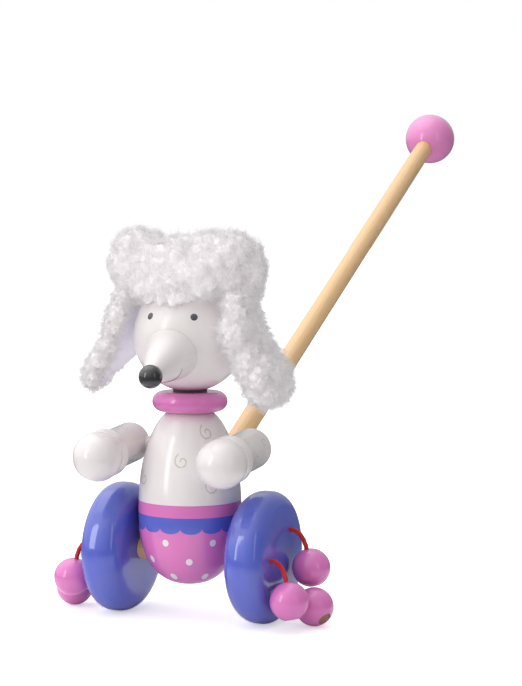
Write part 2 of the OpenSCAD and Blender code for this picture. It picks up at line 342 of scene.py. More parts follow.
def paint_over(shader, colour, gloss=0.22, turning=0.08):
    """A sprayed gloss coat over turned wood: sanding marks round the part, faint orange peel,
    a few pits that are darker inside as painted shade, and slightly uneven cover."""
    angle, radius, height = shader.round_the_axis()
    turned = shader.join(shader.times(angle, 0.0012), radius, height)
    marks = shader.noise(0.7 * MM, 3, turned)
    peel = shader.noise(1.6 * MM, 2)
    cover = shader.noise(14 * MM, 3, contrast=(0.3, 0.7))
    pits = shader.add("ShaderNodeTexVoronoi")
    shader.feed(pits.inputs["Vector"], shader.place)
    shader.feed(pits.inputs["Scale"], 1 / (7 * MM))
    pit = shader.span(pits.outputs["Distance"], 0.0, 0.035, 1.0, 0.0)
    tinted = shader.mix(shader.times(cover, 0.06), colour, (0.35, 0.33, 0.36))
    # The pits are painted darker: painted shade in their hollows.
    tinted = shader.mix(shader.times(pit, 0.25), tinted, (0.25, 0.2, 0.2))
    relief = shader.bump(marks, 0.05 * MM, turning)
    relief = shader.bump(peel, 0.1 * MM, 0.12, relief)
    relief = shader.bump(shader.minus(1.0, pit), 0.1 * MM, 0.5, relief)
    rough = shader.plus(gloss, shader.times(marks, 0.06))
    return shader.finish(base_color=tinted, roughness=rough, normal=relief, coat_weight=0.6,
                         coat_roughness=0.06)


def plain_paint(name, colour, gloss=0.22):
    return paint_over(Shader(name), colour, gloss)


def arc_length(shader, angle, middle, radius):
    """Distance round the part from the angle middle, in metres, along a circle of this radius."""
    turn = shader.minus(angle, math.radians(middle))
    turn = shader.math("WRAP", turn, math.pi, -math.pi)
    return shader.times(turn, radius)


def swirl_mask(shader, across, along, reach=4.3 * MM, pitch=3.1 * MM, stroke=0.75 * MM, tilt=118):
    """A brushed curl: one line that winds inwards from the upper left round the bottom."""
    distance = shader.hypot(across, along)
    angle = shader.math("ARCTAN2", along, across)
    turned = shader.math("WRAP", shader.minus(angle, math.radians(tilt)), TURN, 0.0)
    wound = shader.plus(distance, shader.times(turned, pitch / TURN))
    off_line = shader.math("WRAP", shader.minus(wound, reach), pitch / 2, -pitch / 2)
    off_line = shader.math("ABSOLUTE", off_line)
    line = shader.below(off_line, stroke / 2, 0.14 * MM)
    inside = shader.below(wound, reach + stroke)
    hollow = shader.below(0.55 * MM, distance)
    return shader.times(line, shader.times(inside, hollow))


def body_paint():
    """White above, a pink waistband, a scalloped blue frill, and a dotted pink base."""
    band_top = 63.5 * MM
    band_low = 56.9 * MM
    frill_low = 51.3 * MM
    frill_drop = 2.9 * MM
    scallops = 15
    scallop_at = 26.1
    dot_radius = 1.85 * MM
    dot_pitch = 55.6
    dots_round = 360 / dot_pitch
    widest = 27.6
    # Rows of dots and the swirls, as (height, angle from the front, radius there), in mm and degrees.
    dot_rows = ((43.4, -3.9, widest * 0.985), (33.3, 24.0, widest * 0.90), (24.2, -3.9, widest * 0.66))
    swirls = ((101, 52, 20.6), (86.5, 15, 24.8), (100, -54, 20.9), (76, -41, 26.6), (73, 51, 26.9),
              (97, 130, 21.8), (82, 92, 25.6), (91, -112, 23.8), (73, -150, 26.9), (84, 171, 25.2))
    shader = Shader("figure_paint")
    angle, _, height = shader.round_the_axis()
    step = shader.times(shader.minus(angle, math.radians(scallop_at)), scallops / TURN)
    step = shader.math("FRACT", shader.plus(step, scallops + 0.5))
    from_middle = shader.times(shader.minus(step, 0.5), 2.0)
    bow = shader.math("SQRT", shader.minus(1.0, shader.math("POWER", from_middle, 2.0)))
    frill_edge = shader.minus(frill_low, shader.times(bow, frill_drop))
    dots = []
    for row_height, offset, ring in dot_rows:
        turns = shader.times(shader.minus(angle, math.radians(offset)), dots_round / TURN)
        beside = shader.minus(turns, shader.math("ROUND", turns))
        across = shader.times(beside, TURN / dots_round * ring * MM)
        along = shader.minus(height, row_height * MM)
        dots.append(shader.below(shader.hypot(across, along), dot_radius))
    curls = []
    for curl_height, middle, ring in swirls:
        along = shader.minus(height, curl_height * MM)
        curls.append(swirl_mask(shader, arc_length(shader, angle, middle, ring * MM), along))
    brushed = shader.noise(1.5 * MM, 2, contrast=(0.25, 0.6))
    cover = shader.times(shader.most(curls), shader.math("MULTIPLY_ADD", brushed, 0.35, 0.6))
    white = shader.mix(cover, WHITE, SWIRL)
    base = shader.mix(shader.most(dots), PINK, WHITE)
    low = shader.mix(shader.below(height, frill_edge), BLUE, base)
    banded = shader.mix(shader.below(height, band_low), PINK, low)
    colour = shader.mix(shader.below(height, band_top), white, banded)
    return paint_over(shader, colour, 0.2)


def arm_paint(side):
    """White with faint small curls round the upper arm."""
    shader = Shader(f"{side}_arm_paint")
    angle, _, height = shader.round_the_axis()
    curls = []
    for curl_height, middle in ((17.5, 40), (20, 100), (26, -20), (30, 150), (22, -120), (33, 65)):
        along = shader.minus(height, curl_height * MM)
        across = arc_length(shader, angle, middle * OUTWARD[side].x, 10.8 * MM)
        curls.append(swirl_mask(shader, across, along, 2.6 * MM, 2.2 * MM, 0.6 * MM))
    colour = shader.mix(shader.times(shader.most(curls), 0.6), WHITE, SWIRL)
    return paint_over(shader, colour, 0.2)


def bare_wood(name, length=60 * MM, tone=1.0):
    """Clear-varnished pale hardwood, with its grain along Z and rings at the ends."""
    pith_beside = 31 * MM
    ring_pitch = 2.3 * MM
    shader = Shader(name)
    x, y, _ = shader.split(shader.place)
    drift = shader.noise(length, 2)
    bent = shader.plus(x, shader.times(drift, 9 * MM))
    from_pith = shader.hypot(shader.plus(bent, pith_beside), y)
    bands = shader.span(shader.math("SINE", shader.times(from_pith, TURN / ring_pitch)), -0.4, 1.0)
    fibres = shader.noise(0.35 * MM, 4, stretch=(1, 1, 0.035), contrast=(0.35, 0.72))
    pores = shader.noise(0.16 * MM, 2, stretch=(1, 1, 0.06), contrast=(0.62, 0.78))
    warm = shader.noise(38 * MM, 2, stretch=(1, 1, 0.5))
    colour = shader.mix(shader.times(bands, 0.16), WOOD, WOOD_DARK)
    colour = shader.mix(shader.times(fibres, 0.2), colour, shade(WOOD_DARK, 0.9))
    colour = shader.mix(shader.times(pores, 0.3), colour, shade(WOOD_DARK, 0.5))
    colour = shader.mix(shader.times(warm, 0.35), colour, (0.86, 0.62, 0.36))
    # tone darkens the whole wood; for the plugs this is in part painted shade.
    colour = shader.stretch(colour, (tone, tone * tone ** 0.2, tone * tone ** 0.35))
    relief = shader.bump(shader.plus(fibres, pores), 0.05 * MM, 0.5)
    rough = shader.plus(0.32, shader.times(fibres, 0.15))
    return shader.finish(base_color=colour, roughness=rough, normal=relief, coat_weight=0.25,
                         coat_roughness=0.2)


def cord_cloth():
    """Red braid: deeper red in the hollows of its fine fuzz as painted shade, lighter worn patches, and a soft
    fibrous sheen.
    """
    shader = Shader("cord_braid")
    fuzz = shader.noise(0.25 * MM, 3)
    wear = shader.noise(5 * MM, 2, contrast=(0.4, 0.8))
    # The fuzz is deeper red where its relief is low: painted shade.
    colour = shader.mix(fuzz, (0.30, 0.001, 0.004), (0.78, 0.018, 0.022))
    colour = shader.mix(shader.times(wear, 0.2), colour, (0.82, 0.12, 0.10))
    relief = shader.bump(fuzz, 0.15 * MM, 0.6)
    return shader.finish(base_color=colour, roughness=0.78, normal=relief, sheen_weight=0.35,
                         sheen_roughness=0.4)


def felt_cloth():
    shader = Shader("washer_felt")
    fuzz = shader.noise(0.4 * MM, 4)
    colour = shader.mix(fuzz, (0.035, 0.03, 0.04), (0.13, 0.11, 0.13))
    relief = shader.bump(fuzz, 0.3 * MM, 0.8)
    return shader.finish(base_color=colour, roughness=0.95, normal=relief, sheen_weight=0.3)


def fur_pile(name, shadowed, painted_glow):
    """White curly pile: slightly greyer in patches, with a painted glow in its own colour that lifts its shade."""
    shader = Shader(name)
    patches = shader.noise(13 * MM, 3, contrast=(0.35, 0.7))
    flecks = shader.noise(1.6 * MM, 3, contrast=(0.3, 0.75))
    colour = shader.mix(patches, shadowed, shade(shadowed, 1.1))
    colour = shader.mix(shader.times(flecks, 0.3), colour, shade(shadowed, 1.15))
    relief = shader.bump(shader.noise(1.1 * MM, 4), 0.4 * MM, 0.3)
    # The emission is a painted glow: the pile shines in its own colour to lighten its shade.
    return shader.finish(base_color=colour, roughness=0.95, normal=relief, sheen_weight=0.2,
                         sheen_roughness=0.6, specular_ior_level=0.1, emission_color=colour,
                         emission_strength=painted_glow)


def satin_cloth():
    """Lilac satin: a very fine weave with a soft lengthways gleam, painted shade in the hollows of its folds, and
    a faint painted glow.
    """
    shader = Shader("ear_satin")
    _, y, z = shader.split(shader.place)
    thread = 0.3 * MM
    warp = shader.math("SINE", shader.times(y, TURN / thread))
    weft = shader.math("SINE", shader.times(z, TURN / (thread * 1.4)))
    weave = shader.times(warp, weft)
    folds = shader.noise(16 * MM, 2, contrast=(0.3, 0.7))
    # The lilac is paler on the crests of the folds and darker in their hollows: painted shade.
    colour = shader.mix(folds, (0.72, 0.71, 0.85), (0.81, 0.80, 0.91))
    relief = shader.bump(weave, 0.03 * MM, 0.5)
    relief = shader.bump(folds, 0.8 * MM, 0.4, relief)
    # The emission is a painted glow that lightens the lining's shade.
    return shader.finish(base_color=colour, roughness=0.42, normal=relief, sheen_weight=0.5, anisotropic=0.4,
                         emission_color=colour, emission_strength=0.22)


# ---- wheels, axle and beads

WHEEL_BEVEL_OUT = 8.5 * MM
WHEEL_BEVEL_IN = 11 * MM
AXLE_SEAT = 12 * MM
CORD_RADIUS = 1.2 * MM
CORD_HOLE = 1.25 * MM
PLUG_RADIUS = 3.6 * MM


def bead_frame(side, number):
    """A bead's own frame, with Z from its cord towards its plug, and its radius."""
    bead = f"{side}_bead_{number}"
    axis = centre(f"{side}_plug_{number}") - centre(bead)
    return local_frame(centre(bead), axis, (0.2, -1, 0.3)), max(size(bead)) / 2


def build_wheel(side, material):
    node = f"{side}_wheel"
    outward = OUTWARD[side]
    radius = size(node).z / 2
    half = size(node).x / 2
    axle = size("axle").z / 2
    outline = [(0, AXLE_SEAT - half), (axle, AXLE_SEAT - half), (axle, -half)]
    outline += [(radius - WHEEL_BEVEL_IN - 1 * MM, -half)]
    outline += arc(radius - WHEEL_BEVEL_IN, WHEEL_BEVEL_IN - half, WHEEL_BEVEL_IN, -90, 0, 28)
    outline += arc(radius - WHEEL_BEVEL_OUT, half - WHEEL_BEVEL_OUT, WHEEL_BEVEL_OUT, 0, 84, 26)
    outline += arc(radius - WHEEL_BEVEL_OUT - 0.5 * MM, half - 0.5 * MM, 0.5 * MM, 60, 90, 4)
    outline += [((radius - WHEEL_BEVEL_OUT) * share, half) for share in (0.75, 0.5, 0.25, 0)]
    holes = [pivot(f"{side}_bead_{number}_swing") for number in (1, 2, 3)]
    bits = [drill_bit(hole, outward, CORD_HOLE, -8 * MM, 1 * MM, 32) for hole in holes]
    turned(node, outline, 224, local_frame(centre(node), outward), material, bits, 24)


def build_bead(side, number, material):
    node = f"{side}_bead_{number}"
    matrix, radius = bead_frame(side, number)
    floor = -0.6 * MM
    bore = PLUG_RADIUS + SNUG
    rim = 0.35 * MM
    low_angle = -math.degrees(math.acos(CORD_HOLE / radius))
    high_angle = math.degrees(math.acos((bore + rim) / radius))
    outline = [(CORD_HOLE, floor)]
    outline += arc(0, 0, radius, low_angle, high_angle, 64)
    rim_top = outline[-1][1]
    outline += [(bore + rim * 0.35, rim_top - rim * 0.12), (bore, rim_top - rim * 0.6), (bore, floor)]
    turned(node, outline, 96, matrix, material, angle=30, closed=True)


def build_plug(side, number, material):
    node = f"{side}_plug_{number}"
    matrix, _ = bead_frame(side, number)
    thick = 3.8 * MM
    bevel = 0.3 * MM
    top = (centre(node) - matrix.translation).length + thick / 2
    outline = [(0, top - thick), (PLUG_RADIUS, top - thick), (PLUG_RADIUS, top - bevel)]
    outline += [(PLUG_RADIUS - bevel, top), (PLUG_RADIUS * 0.5, top + 0.05 * MM), (0, top + 0.08 * MM)]
    turned(node, outline, 48, matrix, material)


def bezier(start, start_way, end_way, end, steps):
    """Points along a cubic curve that leaves start along start_way and arrives along end_way."""
    points = []
    for i in range(steps + 1):
        t = i / steps
        s = 1 - t
        points.append(start * s ** 3 + (start + start_way) * 3 * s * s * t
                      + (end - end_way) * 3 * s * t * t + end * t ** 3)
    return points


def braid(name, path, radius, sides=32, strands=5, lay=3.4 * MM):
    """A braided cord along a path: crossing strands stand out of its surface as geometry."""
    points = []
    side = (path[1] - path[0]).cross(UP).normalized()
    run = 0.0
    for k, place in enumerate(path):
        way = (path[min(k + 1, len(path) - 1)] - path[max(k - 1, 0)]).normalized()
        side = (side - way * side.dot(way)).normalized()
        other = way.cross(side)
        run += (place - path[k - 1]).length if k else 0.0
        for i in range(sides):
            angle = TURN * i / sides
            twist = TURN * run / lay
            weave = abs(math.sin((strands * angle + twist) / 2) * math.sin((strands * angle - twist) / 2))
            reach = radius * (0.80 + 0.32 * weave ** 0.6)
            points.append(place + side * (reach * math.cos(angle)) + other * (reach * math.sin(angle)))
    return make_object(name, points, tube_faces(len(path), sides))


def build_cord(side, number, material):
    """The cord leaves its hole square to the wheel and enters its bead along the bead's bore."""
    node = f"{side}_cord_{number}"
    outward = OUTWARD[side]
    mouth = pivot(f"{side}_bead_{number}_swing")
    matrix, radius = bead_frame(side, number)
    into_bead = matrix.to_3x3() @ UP
    entry = matrix.translation - into_bead * radius
    reach = (entry - mouth).length * 0.42
    path = [mouth - outward * depth * MM for depth in (7, 5, 3, 1)]
    path += bezier(mouth, outward * reach, into_bead * reach, entry, 110)
    path += [entry + into_bead * depth * MM for depth in (1, 3, 6, 9)]
    cord = braid(node, path, CORD_RADIUS)
    stand_in(cord, material, node)


def build_running_gear():
    wheel_paint = paint_over(Shader("wheel_paint"), BLUE, 0.1, 0.16)
    bead_paint = plain_paint("bead_paint", PINK, 0.17)
    braid_cloth = cord_cloth()
    # The plugs' wood is darkened to about a third; part of that is painted shade of the recess each plug sits in.
    plug_wood = bare_wood("plug_wood", 20 * MM, 0.32)
    for side in OUTWARD:
        build_wheel(side, wheel_paint)
        for number in (1, 2, 3):
            build_bead(side, number, bead_paint)
            build_plug(side, number, plug_wood)
            build_cord(side, number, braid_cloth)


# ---- body, collar, arms and rod

def superellipse(share, power):
    return max(0.0, 1 - share ** power) ** (1 / power)


def build_body():
    """The turned body, with the same two-part curve and the same bores as its CAD solid."""
    low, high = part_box("body")
    widest = 57 * MM
    close_rise = 58 * MM
    greatest = (high.x - low.x) / 2
    steps = 72
    neck = size("neck_dowel").x / 2
    neck_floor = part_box("neck_dowel")[0].z
    outline = []
    for i in range(steps + 1):
        share = math.cos(TURN / 4 * i / steps)
        outline.append((greatest * superellipse(share, 2.4), widest - (widest - low.z) * share))
    for i in range(1, steps + 1):
        height = (high.z - widest) * math.sin(TURN / 4 * i / steps)
        outline.append((greatest * superellipse(height / close_rise, 2.2), widest + height))
    outline += [(neck, high.z), (neck, neck_floor), (0, neck_floor)]
    rod_radius = size("handle_rod").x / 2
    rod_start, rod_way = rod_line()
    through = 40 * MM
    shoulder_depth = 19 * MM
    dowel = size("left_shoulder_dowel").z / 2
    bits = [drill_bit(pivot("wheel_spin"), X_AXIS, size("axle").z / 2 + LOOSE, -through, through)]
    bits += [drill_bit(rod_start, rod_way, rod_radius + SNUG, 0, 60 * MM)]
    for side, way in OUTWARD.items():
        shoulder = pivot(f"{side}_arm_swing")
        bits.append(drill_bit(shoulder, way, dowel + LOOSE, -shoulder_depth, 10 * MM, 48))
    turned("body", outline, 256, Matrix(), body_paint(), bits)


def build_neck_ring(node, room, material, turns, steps, flat):
    """A ring on the neck dowel with a half-round rim; flat keeps its faces level up to the rim."""
    half = size(node).z / 2
    rim = size(node).x / 2 - half
    inner = size("neck_dowel").x / 2 + room
    edge = [rim - 1 * MM] if flat else []
    outline = [(inner, -half)] + [(across, -half) for across in edge] + arc(rim, 0, half, -90, 90, steps)
    outline += [(across, half) for across in edge] + [(inner, half)]
    turned(node, outline, turns, local_frame(centre(node), UP), material, closed=True)


def build_arm(side):
    """An arm turned along its own axis, from the paw's tip to the rounded shoulder end."""
    node = f"{side}_arm"
    low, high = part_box(node)
    paw = (high.x - low.x) / 2
    shoulder = pivot(f"{side}_arm_swing")
    arm_length = 38.2 * MM
    droop = math.radians(5.2)
    way = Vector((0, math.cos(droop), math.sin(droop)))
    cuff = 12.7 * MM
    cuff_low = 6.0 * MM
    cuff_high = 10.6 * MM
    cuff_round = 1.6 * MM
    upper = 10.8 * MM
    upper_start = 12.4 * MM
    end_round = 6 * MM
    end_flat = arm_length + 0.2 * MM
    outline = arc(0, 0, paw, -90, 20.5, 44)
    outline += arc(cuff - cuff_round, cuff_low, cuff_round, -38, 0, 6)
    outline += arc(cuff - cuff_round, cuff_high, cuff_round, 0, 78, 10)
    outline += [(upper + 0.1 * MM, upper_start - 0.25 * MM), (upper, upper_start)]
    outline += arc(upper - end_round, end_flat, end_round, 0, 90, 20)
    outline += [(0, end_flat + end_round)]
    matrix = local_frame(shoulder - way * arm_length, way, UP)
    dowel = size("left_shoulder_dowel").z / 2
    bit = drill_bit(shoulder, -OUTWARD[side], dowel + SNUG, -5 * MM, 20 * MM, 48)
    turned(node, outline, 144, matrix, arm_paint(side), [bit], 24)


def rod_line():
    """The rod's inner end and its direction."""
    low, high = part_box("handle_rod")
    radius = (high.x - low.x) / 2
    slope = math.atan2(centre("handle_ball").z - centre("handle_rod").z,
                       centre("handle_ball").y - centre("handle_rod").y)
    way = Vector((0, math.cos(slope), math.sin(slope)))
    start = Vector((0, low.y + radius * math.sin(slope), low.z + radius * math.cos(slope)))
    return start, way


def build_rod_and_ball():
    start, way = rod_line()
    radius = size("handle_rod").x / 2
    low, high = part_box("handle_ball")
    ball = (high.x - low.x) / 2
    ball_at = Vector((0, (low.y + high.y) / 2, (low.z + high.z) / 2))
    length = (ball_at - start).dot(way)
    bevel = 0.4 * MM
    outline = [(0, 0), (radius - bevel, 0), (radius, bevel)]
    outline += [(radius, length * share) for share in (0.25, 0.5, 0.75)]
    outline += [(radius, length - bevel), (radius - bevel, length), (0, length)]
    turned("handle_rod", outline, 96, local_frame(start, way, UP), bare_wood("rod_wood", 120 * MM))
    bore = radius + SNUG
    floor = 0.5 * MM
    outline = [(0, floor), (bore, floor), (bore, -math.sqrt(ball ** 2 - bore ** 2) + 0.2 * MM)]
    outline += arc(0, 0, ball, -math.degrees(math.acos((bore + 0.3 * MM) / ball)), 90, 72)
    paint = plain_paint("ball_paint", PALE_PINK, 0.18)
    turned("handle_ball", outline, 128, local_frame(ball_at, way, UP), paint)


def finish_dowels():
    """The dowels keep their CAD shape: bare wood inside, and sprayed white at the shoulders."""
    wood = bare_wood("dowel_wood", 40 * MM)
    painted = plain_paint("shoulder_dowel_paint", WHITE, 0.4)
    for node in ("neck_dowel", "nose_peg", "left_shoulder_dowel", "right_shoulder_dowel", "axle"):
        piece = frame["nodes"][node]
        piece.data.materials.clear()
        piece.data.materials.append(painted if "shoulder" in node else wood)


# ---- head

def head_place():
    """The head ball's centre and radius."""
    low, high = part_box("head")
    radius = (high.x - low.x) / 2
    return Vector((0, 0, high.z - radius)), radius


HEAD_FRONT = Vector(JOINTS["left_ear_flap"]["axis"])
HEAD_CENTRE, HEAD_RADIUS = head_place()
HEAD_FRAME = local_frame(HEAD_CENTRE, UP, HEAD_FRONT)
SNOUT_WAY = (centre("nose") - HEAD_CENTRE).normalized()
NOSE_REACH = (centre("nose") - HEAD_CENTRE).length
SNOUT_BASE = 14 * MM
SNOUT_TIP = 5 * MM
SNOUT_START = math.sqrt(HEAD_RADIUS ** 2 - SNOUT_BASE ** 2)
SNOUT_END = NOSE_REACH - 3.7 * MM
SPIGOT_RADIUS = 6 * MM
SPIGOT_LENGTH = 10 * MM
NOSE_RADIUS = size("nose").x / 2
PEG_BORE = 1.52 * MM


def build_head():
    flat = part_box("head")[0].z - HEAD_CENTRE.z
    neck = size("neck_dowel").x / 2 + LOOSE
    neck_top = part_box("neck_dowel")[1].z - HEAD_CENTRE.z + 1 * MM
    chin = math.degrees(math.asin(flat / HEAD_RADIUS))
    outline = [(0, neck_top), (neck, neck_top), (neck, flat)]
    outline += arc(0, 0, HEAD_RADIUS, chin, 90, 110)
    seat = drill_bit(HEAD_CENTRE, SNOUT_WAY, HEAD_RADIUS, SNOUT_START, 2 * HEAD_RADIUS)
    spigot = drill_bit(HEAD_CENTRE, SNOUT_WAY, SPIGOT_RADIUS + SNUG, SNOUT_START - SPIGOT_LENGTH,
                       HEAD_RADIUS)
    turned("head", outline, 224, HEAD_FRAME, plain_paint("head_paint", WHITE, 0.3), [seat, spigot])


def snout_radius(share):
    return SNOUT_BASE + (SNOUT_TIP - SNOUT_BASE) * share + 2.8 * MM * share * (1 - share)


def build_snout():
    span = SNOUT_END - SNOUT_START
    round_over = 0.35 * MM
    start = SNOUT_START + 0.01 * MM
    steps = 48
    outline = [(0, start - SPIGOT_LENGTH), (SPIGOT_RADIUS, start - SPIGOT_LENGTH), (SPIGOT_RADIUS, start)]
    outline += [(SNOUT_BASE - round_over, start)]
    for i in range(steps + 1):
        outline.append((snout_radius(i / steps), start + round_over + (span - round_over) * i / steps))
    dish = NOSE_RADIUS + SNUG
    dish_steps = 12
    for i in range(dish_steps + 1):
        radius = SNOUT_TIP + (PEG_BORE - SNOUT_TIP) * i / dish_steps
        outline.append((radius, NOSE_REACH - math.sqrt(dish ** 2 - radius ** 2)))
    floor = NOSE_REACH - 10 * MM
    outline += [(PEG_BORE, floor), (0, floor)]
    matrix = local_frame(HEAD_CENTRE, SNOUT_WAY, UP)
    turned("snout", outline, 160, matrix, plain_paint("snout_paint", WHITE, 0.3))


def build_nose():
    inner = -math.degrees(math.acos(PEG_BORE / NOSE_RADIUS))
    outline = [(0, 0), (PEG_BORE, 0)] + arc(0, 0, NOSE_RADIUS, inner, 90, 72)
    matrix = local_frame(centre("nose"), SNOUT_WAY, UP)
    turned("nose", outline, 112, matrix, plain_paint("nose_paint", CHARCOAL, 0.04))


def head_direction(azimuth, latitude):
    """A unit vector in the shared frame, from angles in the head's own frame."""
    a = math.radians(azimuth)
    b = math.radians(latitude)
    local = Vector((math.sin(a) * math.cos(b), -math.cos(a) * math.cos(b), math.sin(b)))
    return HEAD_FRAME.to_3x3() @ local


def build_eyes():
    """Two small domed drops of charcoal paint on the head ball."""
    material = plain_paint("eye_paint", (0.055, 0.055, 0.065), 0.25)
    radius = 1.9 * MM
    dome = 0.28 * MM
    sink = HEAD_RADIUS - math.sqrt(HEAD_RADIUS ** 2 - radius ** 2) + 0.15 * MM
    latitude = 21.5
    edge = 0.15 * MM - sink
    steps = 14
    for name, azimuth in (("right_eye", -25.6), ("left_eye", 26.2)):
        way = head_direction(azimuth, latitude)
        outline = [(0, -sink), (radius * 0.97, -sink)]
        for i in range(steps + 1):
            t = TURN / 4 * i / steps
            outline.append((radius * math.cos(t), edge + (dome - edge) * math.sin(t)))
        eye = lathe(name, outline, 64)
        eye.matrix_world = local_frame(HEAD_CENTRE + way * HEAD_RADIUS, way, UP)
        crisp(eye)
        dress(eye, material, "head")


def snout_surface(turn, along):
    """A point on the snout at an angle from its underside towards the left, and along its axis."""
    share = (along - SNOUT_START) / (SNOUT_END - SNOUT_START)
    frame_matrix = local_frame(HEAD_CENTRE, SNOUT_WAY, -UP).to_3x3()
    radius = snout_radius(share)
    a = math.radians(turn)
    local = Vector((math.sin(a) * radius, -math.cos(a) * radius, along))
    return HEAD_CENTRE + frame_matrix @ local


def build_smile():
    """A fine painted line on each side of the snout, from under the nose up towards the cheek."""
    shader = Shader("smile_paint")
    thin = shader.noise(2 * MM, 2)
    colour = shader.mix(thin, (0.16, 0.09, 0.12), (0.26, 0.16, 0.20))
    smile_paint = shader.finish(base_color=colour, roughness=0.5)
    steps = 60
    smile_length = 13.2 * MM
    for name, side in (("left_smile", 1), ("right_smile", -1)):
        path = []
        for i in range(steps + 1):
            t = i / steps
            turn = 4 + 50 * t ** 1.25 + 22 * t ** 5
            along = SNOUT_END - 0.6 * MM - smile_length * math.sin(TURN / 4 * t) ** 1.1
            path.append(snout_surface(turn * side, along))
        smile = ribbon(name, path, 0.32 * MM)
        dress(smile, smile_paint, "head")


def ribbon(name, path, radius, sides=8):
    """A thin round line along a path, tapering at both ends."""
    points = []
    count = len(path)
    for k, place in enumerate(path):
        way = (path[min(k + 1, count - 1)] - path[max(k - 1, 0)]).normalized()
        side = way.cross(UP).normalized()
        other = way.cross(side)
        taper = radius * (0.3 + 0.7 * math.sin(math.pi * (0.08 + 0.84 * k / (count - 1))))
        for i in range(sides):
            angle = TURN * i / sides
            points.append(place + side * (taper * math.cos(angle)) + other * (taper * math.sin(angle)))
    return make_object(name, points, tube_faces(count, sides))


# ---- fur

PILE_COUNT = 9500  # hairs in one piece of pile
COARSER = 1.0


def skin_round(name, balls, voxel, matrix):
    """One closed skin round several ellipsoids, each given as (centre, radii) in millimetres."""
    mesh = bmesh.new()
    for middle, radii in balls:
        shape = Matrix.Translation(Vector(middle) * MM) @ Matrix.Diagonal((*[r * MM for r in radii], 1))
        bmesh.ops.create_icosphere(mesh, subdivisions=4, radius=1, matrix=matrix @ shape)
    data = bpy.data.meshes.new(name)
    mesh.to_mesh(data)
    mesh.free()
    piece = add_object(name, data)
    merge = piece.modifiers.new("merge", "REMESH")
    merge.mode = "VOXEL"
    merge.voxel_size = voxel * COARSER
    ease = piece.modifiers.new("ease", "SMOOTH")
    ease.factor = 0.5
    ease.iterations = 3
    bake_modifiers(piece)
    return piece


def read_points(mesh):
    points = np.empty(len(mesh.vertices) * 3)
    mesh.vertices.foreach_get("co", points)
    normals = np.empty(len(mesh.vertices) * 3)
    mesh.vertex_normals.foreach_get("vector", normals)
    return points.reshape(-1, 3), normals.reshape(-1, 3)


def move_points(piece, points):
    piece.data.vertices.foreach_set("co", points.ravel())
    piece.data.update()


def scatter(points, spacing, random, tries=6000):
    """Picks well spread points, none nearer to another than spacing."""
    kept = np.empty((0, 3))
    chosen = []
    for index in random.permutation(len(points))[:tries]:
        place = points[index]
        if len(kept) == 0 or np.min(np.sum((kept - place) ** 2, axis=1)) > spacing ** 2:
            kept = np.vstack((kept, place))
            chosen.append(index)
    return np.array(chosen)


def nearest(points, centres):
    """For each point, the index of its nearest centre and the distance to it."""
    index = np.empty(len(points), int)
    distance = np.empty(len(points))
    for start in range(0, len(points), 4000):
        block = points[start:start + 4000]
        squares = ((block[:, None, :] - centres[None, :, :]) ** 2).sum(axis=2)
        index[start:start + 4000] = squares.argmin(axis=1)
        distance[start:start + 4000] = np.sqrt(squares.min(axis=1))
    return index, distance


def raise_curls(piece, spacing, height, random, cover):
    """Lifts the surface into packed round curls; cover says where, from 0 to 1."""
    points, normals = read_points(piece.data)
    share = cover(points, normals)
    chosen = scatter(points, spacing, random)
    _, distance = nearest(points, points[chosen])
    sunk = 0.55  # of a curl's height between the curls
    lift = height * (1 - np.clip(distance / spacing, 0, 1) ** 2) - height * sunk
    move_points(piece, points + normals * (lift * share)[:, None])


def unit(vectors):
    return vectors / np.maximum(np.linalg.norm(vectors, axis=1, keepdims=True), 1e-12)


